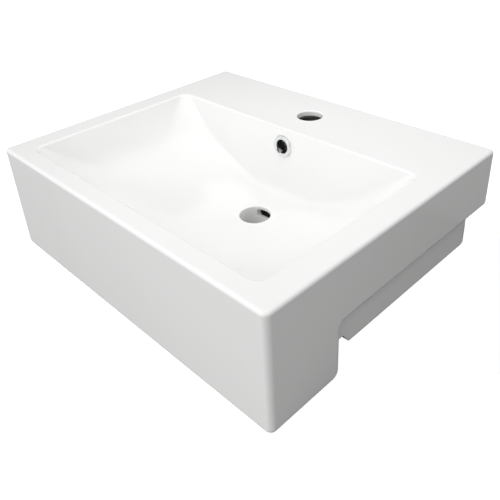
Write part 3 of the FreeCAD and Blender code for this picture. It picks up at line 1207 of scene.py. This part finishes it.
    def channel(self) -> Prism:
        """Draw the water's way down behind the bowl.

        Returns:
            Its prism.
        """
        front = self.bowl.back + self.bowl_wall
        rear, ease = front + self.channel_depth, self.passage_round
        base, _ = self.slot_levels
        head = self.overflow[1] + self.overflow_bore + self.channel_head
        return Prism((
            Corner(front, base, 0.0, ease),
            Corner(rear, base, ease, ease),
            Corner(rear, head, ease, ease),
            Corner(front, head, ease, ease),
        ), self.channel_width / 2, PASSAGE_STEPS, PASSAGE_STEPS)

    def slot(self) -> Prism:
        """Draw the water's way out, through the waste hole's wall.

        Returns:
            Its prism, from the middle of the waste hole to the middle of the channel.
        """
        base, top = self.slot_levels
        rear = self.bowl.back + self.bowl_wall + self.channel_depth / 2
        return Prism((
            Corner(self.bowl.waste_y, base, 0.0, self.passage_round),
            Corner(rear, base),
            Corner(rear, top, 0.0, self.passage_round),
            Corner(self.bowl.waste_y, top),
        ), self.slot_width / 2, PASSAGE_STEPS, PASSAGE_STEPS)

    def overflow_hole(self) -> Array:
        """Draw the hole that the overflow ring sits in.

        Returns:
            Its rows, from the channel out into the bowl.
        """
        y, z, lean = self.overflow
        reach = self.bowl_wall + self.channel_depth / 2
        profile = np.array([[self.overflow_bore, -reach], [self.overflow_bore, reach / 2]])
        return turned(profile, self.round_steps, (0.0, y, z), pi / 2 - lean)

    def tap_hole(self) -> Array:
        """Draw the tap hole, with its soft lip and its relief underneath.

        Returns:
            Its rows, from the top down.
        """
        lip, relieved = self.tap_bore + self.tap_lip, self.tap_bore + self.tap_relief
        profile = np.concatenate([
            [[lip, self.top + ABOVE]],
            arc(lip, self.top + SKIN - self.tap_lip, self.tap_lip, 90, 180, self.tap_lip_steps),
            [[self.tap_bore, self.underside + self.tap_relief],
             [relieved, self.underside],
             [relieved, self.underside - self.deck_thickness]],
        ])
        return turned(profile, self.round_steps, (0.0, self.back - self.tap_from_back, 0.0))

    def glaze(self) -> Glaze:
        """Fit the glaze to this basin: its swell behind the bowl and the painted shade in its way
        out.

        Returns:
            The glaze.
        """
        margin = self.passage_shade_margin
        half = self.channel_width / 2 + margin
        mouth = self.bowl.waste_y + self.bowl.waste_bore + self.unshaded_mouth
        rear = self.bowl.back + self.bowl_wall + self.channel_depth + margin
        base, top = self.slot_levels
        return replace(GLAZE, swell_from_mm=self.bowl.back,
                       passage_shade_box_mm=((-half, half), (mouth, rear), (base - margin, top + margin)))

    def build(self) -> None:
        """Make the china as it is made: walls, then hollows, then the bowl, then the holes."""
        china = solid("china", self.outside().grid())
        steps = (
            (Join.ADD, "lower_body", self.lower_body().grid()),
            (Join.TAKE, "upper_hollow", self.upper_hollow().grid()),
            (Join.TAKE, "lower_hollow", self.lower_hollow().grid()),
            (Join.ADD, "bowl_shell", self.bowl.shell(self.bowl_wall)),
            (Join.ADD, "boss", self.boss()),
            (Join.ADD, "duct", self.duct().grid()),
            (Join.TAKE, "bowl_inside", self.bowl.inside()),
            (Join.TAKE, "channel", self.channel().grid()),
            (Join.TAKE, "slot", self.slot().grid()),
            (Join.TAKE, "overflow_hole", self.overflow_hole()),
            (Join.TAKE, "tap_hole", self.tap_hole()),
        )
        shape(china, [(way, solid(name, grid)) for way, name, grid in steps])
        finish_piece(china, self.glaze(), "basin", "basin_body")


# ---------------------------------------------------------------- overflow fitting
@dataclass(frozen=True)
class OverflowFitting:
    """The chromed ring in the overflow hole, with its seal and its sprung clip.

    Heights are along the hole's own axis, from the plane of its mouth.
    """

    y: float
    z: float
    lean: float
    ring_radius: float = 16.0
    ring_opening: float = 10.5
    ring_height: float = 2.4
    ring_skin: float = 0.9
    ring_round: float = 1.1
    ring_round_steps: int = 10
    mouth_round: float = 0.6
    mouth_round_steps: int = 8
    ring_tube: float = 9.0
    tube_wall: float = 0.8
    clip_radius: float = 12.4
    clip_length: float = 14.0
    clip_collar: float = 4.0
    leg_slit: float = 2.4
    legs: int = 6
    leg_taper: float = 0.3
    leg_taper_length: float = 0.6
    window_width: float = 6.5
    window_depths: tuple[float, float] = (-5.0, 2.6)
    window_degrees: float = 232.0
    cut_margin: float = 0.05
    seat_gap: float = 0.3
    seal_round: float = 0.3
    seal_round_steps: int = 4
    steps: int = 144

    @property
    def tube_radius(self) -> float:
        """The outer radius of the ring's tube."""
        return self.ring_opening + self.tube_wall

    @property
    def flange_base(self) -> float:
        """The height of the flange's inner face."""
        return self.ring_height - self.ring_skin

    def _turned(self, name: str, profile: Array) -> bpy.types.Object:
        """Turn a closed profile round the hole's axis."""
        grid = turned(profile, self.steps, (0.0, self.y, self.z), pi / 2 - self.lean)
        return solid(name, grid, ring=True)

    def _cut(self, name: str, width: float, depths: tuple[float, float],
             degrees: float) -> tuple[Join, bpy.types.Object]:
        """Give a straight cut through the tube and the clip, out to just past the clip's radius.

        Args:
            name: its name.
            width: its width round the tube.
            depths: the heights of its inner and outer ends.
            degrees: its place round the hole, anticlockwise from the right.

        Returns:
            The cut, ready for shape.
        """
        inner, outer = self.ring_opening / 2, self.clip_radius + self.cut_margin
        grid = Prism((Corner(inner, depths[0]), Corner(outer, depths[0]),
                      Corner(outer, depths[1]), Corner(inner, depths[1])), width / 2).grid()
        spin = np.array(Matrix.Rotation(radians(degrees - 90), 3, "Z"))
        tip = np.array(Matrix.Rotation(pi / 2 - self.lean, 3, "X"))
        placed = grid @ spin.T @ tip.T + np.array([0.0, self.y, self.z])
        return Join.TAKE, solid(name, placed)

    def _window(self) -> tuple[Join, bpy.types.Object]:
        """Give the window near the mouth, through which the china shows."""
        return self._cut("window", self.window_width, self.window_depths, self.window_degrees)

    def ring(self) -> None:
        """Make the ring: a domed flange, rolled into a short tube, chrome to its mouth, then
        painted shade.
        """
        tube, base = self.tube_radius, self.flange_base
        inside_lip = self.ring_radius - self.ring_skin
        profile = np.concatenate([
            [[self.ring_opening, -self.ring_tube], [tube, -self.ring_tube], [tube, base],
             [inside_lip, base], [inside_lip, self.seat_gap], [self.ring_radius, self.seat_gap]],
            arc(self.ring_radius - self.ring_round, self.ring_height - self.ring_round,
                self.ring_round, 0, 90, self.ring_round_steps),
            arc(self.ring_opening + self.mouth_round, self.ring_height - self.mouth_round,
                self.mouth_round, 90, 180, self.mouth_round_steps),
        ])
        piece = self._turned("overflow_ring_chrome", profile)
        shape(piece, [self._window()])
        # Painted shade from the mouth's plane inwards, down the tube.
        plate = replace(CHROME, tube_shade_from_mm=self.y)
        finish_piece(piece, plate, "overflow_fitting", "overflow_ring")

    def seal(self) -> None:
        """Make the soft washer inside the flange."""
        base, ease, steps = self.flange_base, self.seal_round, self.seal_round_steps
        hub = self.ring_radius - self.ring_skin - ease
        profile = np.concatenate([
            [[self.clip_radius, base], [self.clip_radius, self.seat_gap]],
            arc(hub, self.seat_gap + ease, ease, -90, 0, steps),
            arc(hub, base - ease, ease, 0, 90, steps),
        ])
        piece = self._turned("overflow_seal_rubber", profile)
        finish_piece(piece, SEAL_RUBBER, "overflow_fitting", "overflow_seal")

    def clip(self) -> None:
        """Make the sprung sleeve, slit into legs."""
        tube, base, end = self.tube_radius, self.flange_base, -self.clip_length
        profile = np.array([[tube, end], [self.clip_radius - self.leg_taper, end],
                            [self.clip_radius, end + self.leg_taper_length],
                            [self.clip_radius, base], [tube, base]])
        piece = self._turned("overflow_clip_plastic", profile)
        slits = [self._cut(f"slit_{leg}", self.leg_slit, (end - OVERLAP, -self.clip_collar),
                           360 * leg / self.legs)
                 for leg in range(self.legs)]
        shape(piece, [*slits, self._window()])
        finish_piece(piece, CLIP_PLASTIC, "overflow_fitting", "overflow_clip")


# ---------------------------------------------------------------- studio
@dataclass(frozen=True)
class Softbox:
    """A soft round light: where it hangs, what it points at, its width in metres and its power."""

    name: str
    place: tuple[float, float, float]
    aim: tuple[float, float, float]
    size: float
    watts: float

    def hang(self) -> None:
        """Add the light, which lights the basin but is neither seen nor mirrored."""
        lamp = bpy.data.lights.new(self.name, "AREA")
        lamp.shape = "DISK"
        lamp.size = self.size
        lamp.energy = self.watts
        light = bpy.data.objects.new(self.name, lamp)
        light.location = self.place
        way = Vector(self.aim) - Vector(self.place)
        light.rotation_euler = way.to_track_quat("-Z", "Y").to_euler()
        light.visible_camera = False
        light.visible_glossy = False
        bpy.context.scene.collection.objects.link(light)


@dataclass(frozen=True)
class Glow:
    """A bright part of the room's walls, by its compass turn and rise in degrees."""

    turn: float
    rise: float
    strength: float

    def towards(self, way: Link) -> Link:
        """Work out its brightness: strength times the cube of the angle's cosine.

        Args:
            way: the direction that is looked in.

        Returns:
            The brightness in that direction.
        """
        turn, rise = radians(self.turn), radians(self.rise)
        middle = (cos(rise) * cos(turn), cos(rise) * sin(turn), sin(rise))
        facing = way.along(middle)
        return facing * facing * facing * self.strength


@dataclass(frozen=True)
class Studio:
    """The floor, the dome, the lights and the camera, with their places and sizes in metres."""

    eye: tuple[float, float, float] = (0.5365, -0.4798, 0.5052)
    view_way: tuple[float, float, float] = (-0.63656, 0.59606, -0.48939)
    roll_degrees: float = -3.142
    lens_mm: float = 43.057
    shift: tuple[float, float] = (-0.0052, -0.1313)
    floor_reach: float = 20.0
    card: tuple[float, float, float, float] = (-0.25, -0.205, 0.38, 0.26)
    card_hole: tuple[float, float, float, float] = (-0.034, -0.010, 0.034, 0.058)
    dome_radius: float = 15.0
    dome_foot_degrees: float = -2.0
    dome_rows: int = 24
    dome_columns: int = 48
    softbox: Softbox = Softbox("overhead", (0.02, -0.02, 0.75), (0.02, -0.02, 0.0), 0.42, 1.4)
    glows: tuple[Glow, ...] = (
        Glow(270, 8, 1.25),
        Glow(270, 48, 0.83),
        Glow(225, 8, 0.93),
        Glow(225, 48, 0.08),
        Glow(0, 48, 0.70),
        Glow(45, 48, 0.77),
        Glow(90, 8, 0.30),
        Glow(135, 8, 0.40),
        Glow(135, -35, 0.19),
    )

    @staticmethod
    def stand(finish: Finish, points: list, faces: list) -> bpy.types.Object:
        """Add a thing that is no part of the basin.

        Args:
            finish: its finish, whose name it shares.
            points: its points in metres.
            faces: its faces, as the numbers of their points.

        Returns:
            The object.
        """
        thing = place_mesh(finish.name, points, faces)
        thing.data.materials.append(finish.material())
        return thing

    @staticmethod
    def corners(edges: tuple[float, float, float, float], height: float) -> list:
        """Give a level rectangle's corners, from its left, front, right and back edges."""
        left, front, right, back = edges
        return [(left, front, height), (right, front, height), (right, back, height),
                (left, back, height)]

    def lay_floor(self) -> None:
        """Lay a plain pale floor, which the camera sees but which throws no light back."""
        reach = self.floor_reach
        points = self.corners((-reach, -reach, reach, reach), -FLOOR_GAP * MM)
        floor = self.stand(PALE_FLOOR, points, [(0, 1, 2, 3)])
        floor.visible_diffuse = False
        floor.visible_glossy = False

    def lay_card(self) -> None:
        """Lay an unseen dark card under the basin, with a hole under the waste.

        It keeps light from below out of the basin's hollow and off the skirt's lower edge.
        """
        height = -FLOOR_GAP * MM / 2
        points = self.corners(self.card, height) + self.corners(self.card_hole, height)
        faces = [(side, (side + 1) % 4, (side + 1) % 4 + 4, side + 4) for side in range(4)]
        card = self.stand(DARK_CARD, points, faces)
        card.visible_camera = False

    def stand_dome(self) -> None:
        """Stand a white dome behind it all, which only the camera sees from inside."""
        turns = np.radians(np.linspace(self.dome_foot_degrees, 90, self.dome_rows))
        profile = self.dome_radius * np.stack([np.cos(turns), np.sin(turns)], axis=-1)
        points = turned(profile, self.dome_columns, (0.0, 0.0, 0.0)).reshape(-1, 3)
        inwards = tiles(self.dome_rows, self.dome_columns)[:, ::-1]
        dome = self.stand(WHITE_DOME, points.tolist(), inwards.tolist())
        dome.visible_diffuse = False
        dome.visible_glossy = False
        dome.visible_transmission = False
        dome.visible_shadow = False

    def room(self, graph: Graph) -> Link:
        """Give the room's brightness in each direction, as the sum of its glows."""
        way = graph.link("ShaderNodeTexCoord", {}, {}, "Generated")
        return sum(glow.towards(way) for glow in self.glows)

    def light(self) -> None:
        """Hang the softbox in a soft pale room."""
        self.softbox.hang()
        world = bpy.data.worlds.new("room")
        world.use_nodes = True
        graph = Graph(world.node_tree)
        air = graph.link("ShaderNodeBackground", {}, {"Strength": self.room(graph)})
        graph.node("ShaderNodeOutputWorld", {}, {"Surface": air})
        bpy.context.scene.world = world
        bpy.context.scene.view_settings.view_transform = "Standard"

    def stand_camera(self) -> None:
        """Stand the camera where the photograph was taken from."""
        data = bpy.data.cameras.new("camera")
        data.lens = self.lens_mm
        data.shift_x, data.shift_y = self.shift
        camera = bpy.data.objects.new("camera", data)
        level = Vector(self.view_way).to_track_quat("-Z", "Y").to_matrix()
        turn = level @ Matrix.Rotation(radians(self.roll_degrees), 3, "Z")
        camera.matrix_world = Matrix.Translation(self.eye) @ turn.to_4x4()
        bpy.context.scene.collection.objects.link(camera)
        bpy.context.scene.camera = camera


def main() -> None:
    """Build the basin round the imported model, and its studio."""
    logging.basicConfig(level=logging.INFO, format="%(message)s")
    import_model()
    low, high = (Vector(corner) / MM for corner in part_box("basin_body"))
    china = China(half_width=high.x, front=low.y, back=high.y, top=high.z)
    china.build()
    fitting = OverflowFitting(*china.overflow)
    fitting.ring()
    fitting.seal()
    fitting.clip()
    studio = Studio()
    studio.lay_floor()
    studio.lay_card()
    studio.stand_dome()
    studio.light()
    studio.stand_camera()


if __name__ == "__main__":
    main()
